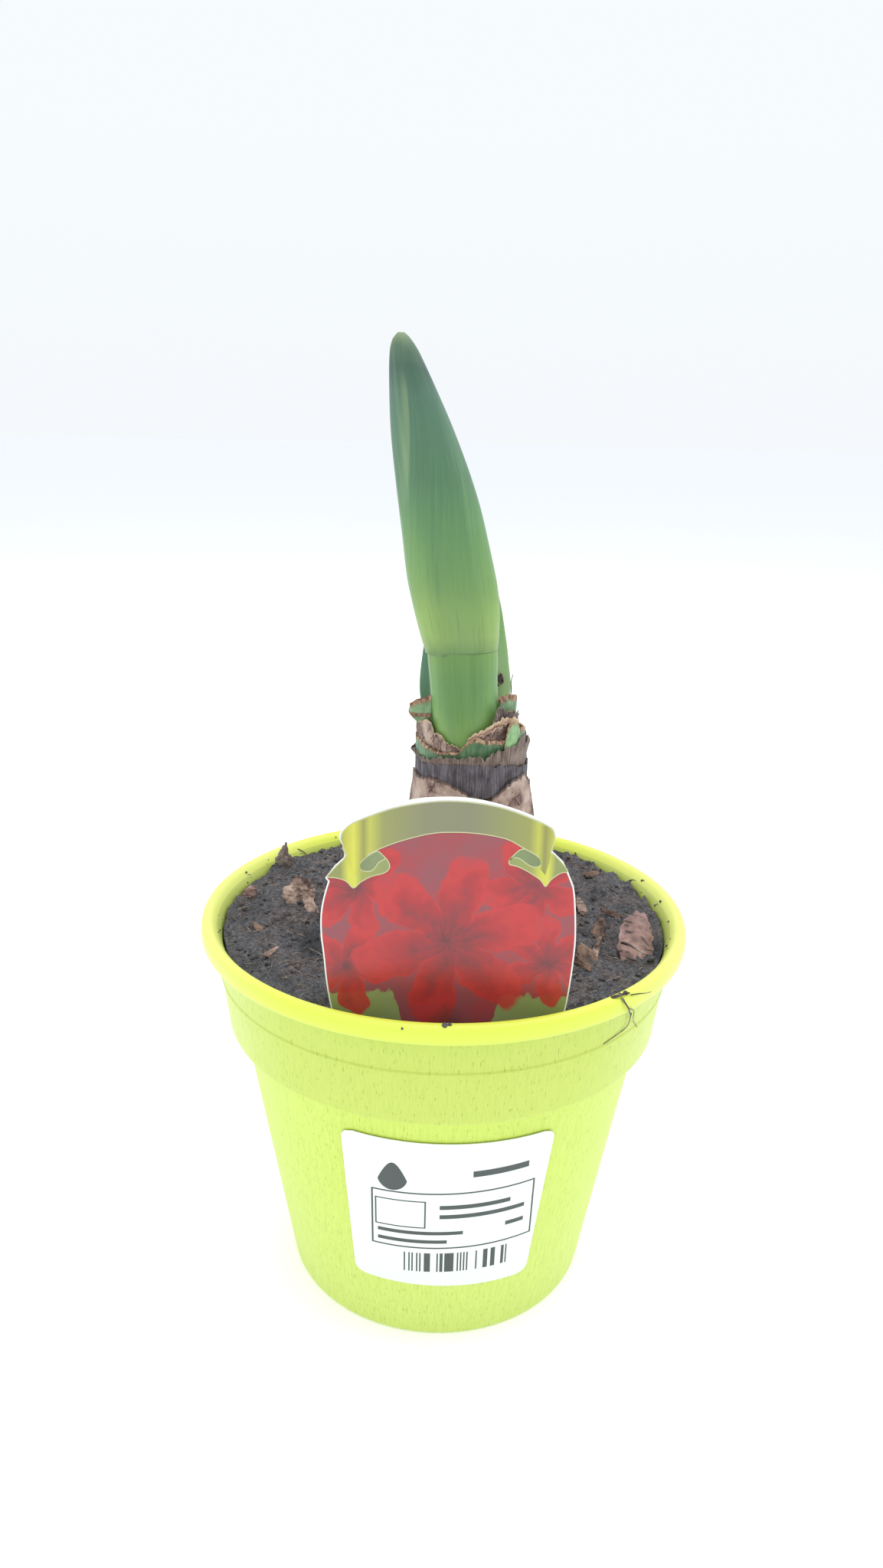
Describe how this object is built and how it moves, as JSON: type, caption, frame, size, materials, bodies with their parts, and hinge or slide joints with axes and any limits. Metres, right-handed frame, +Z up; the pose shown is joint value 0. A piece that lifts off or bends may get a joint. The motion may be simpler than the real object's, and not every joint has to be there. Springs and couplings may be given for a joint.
{
  "type": "potted amaryllis bulb",
  "caption": "Half-buried amaryllis bulb with a closed flower bud and young leaves, in a round tapered plastic pot of soil with a picture label and a sticker",
  "frame": {"origin": "middle of the pot's base, on the surface that it stands on", "axes": "+Z up, the longest way; -Y the front, where the label and the sticker face; +X to the viewer's right"},
  "size_m": [0.13, 0.13, 0.2508],
  "materials": {
    "pot_plastic": "thin lime green moulded plastic, satin, finely brushed upright",
    "soil": "loose dark peat with fibres and crumbs, matte",
    "bulb_skin": "dry brown bulb skin over green flesh at the neck",
    "papery_skin": "thin dry papery skin, veined and torn",
    "dark_skin": "dark grey-brown dried skin, finely ribbed",
    "neck_scale": "cut green leaf bases with torn brown rims",
    "stalk": "smooth waxy green stalk, yellower at its top and foot",
    "bud": "waxy green bracts with fine lengthwise streaks and a grey-blue tip",
    "leaf": "thick smooth strap leaf, parallel veins",
    "label": "printed white plastic sheet, satin gloss",
    "sticker": "white paper with plain ruled print and bars",
    "husk": "loose dry skin flakes",
    "bark": "small chips of bark"
  },
  "bodies": {
    "root": {"pot": "pot_plastic", "soil": "soil", "bulb": "bulb_skin", "papery_skin": "papery_skin", "dark_skin": "dark_skin", "neck_scale_outer": "neck_scale", "neck_scale_inner": "neck_scale", "flower_stalk": "stalk", "bract_front": "bud", "bract_left": "bud", "leaf_left": "leaf", "leaf_right": "leaf", "picture_label": "label", "sticker": "sticker", "husk_left": "husk", "husk_back": "husk", "husk_small": "husk", "husk_right": "husk", "bark_near": "bark", "bark_far": "bark"}
  },
  "joints": []
}
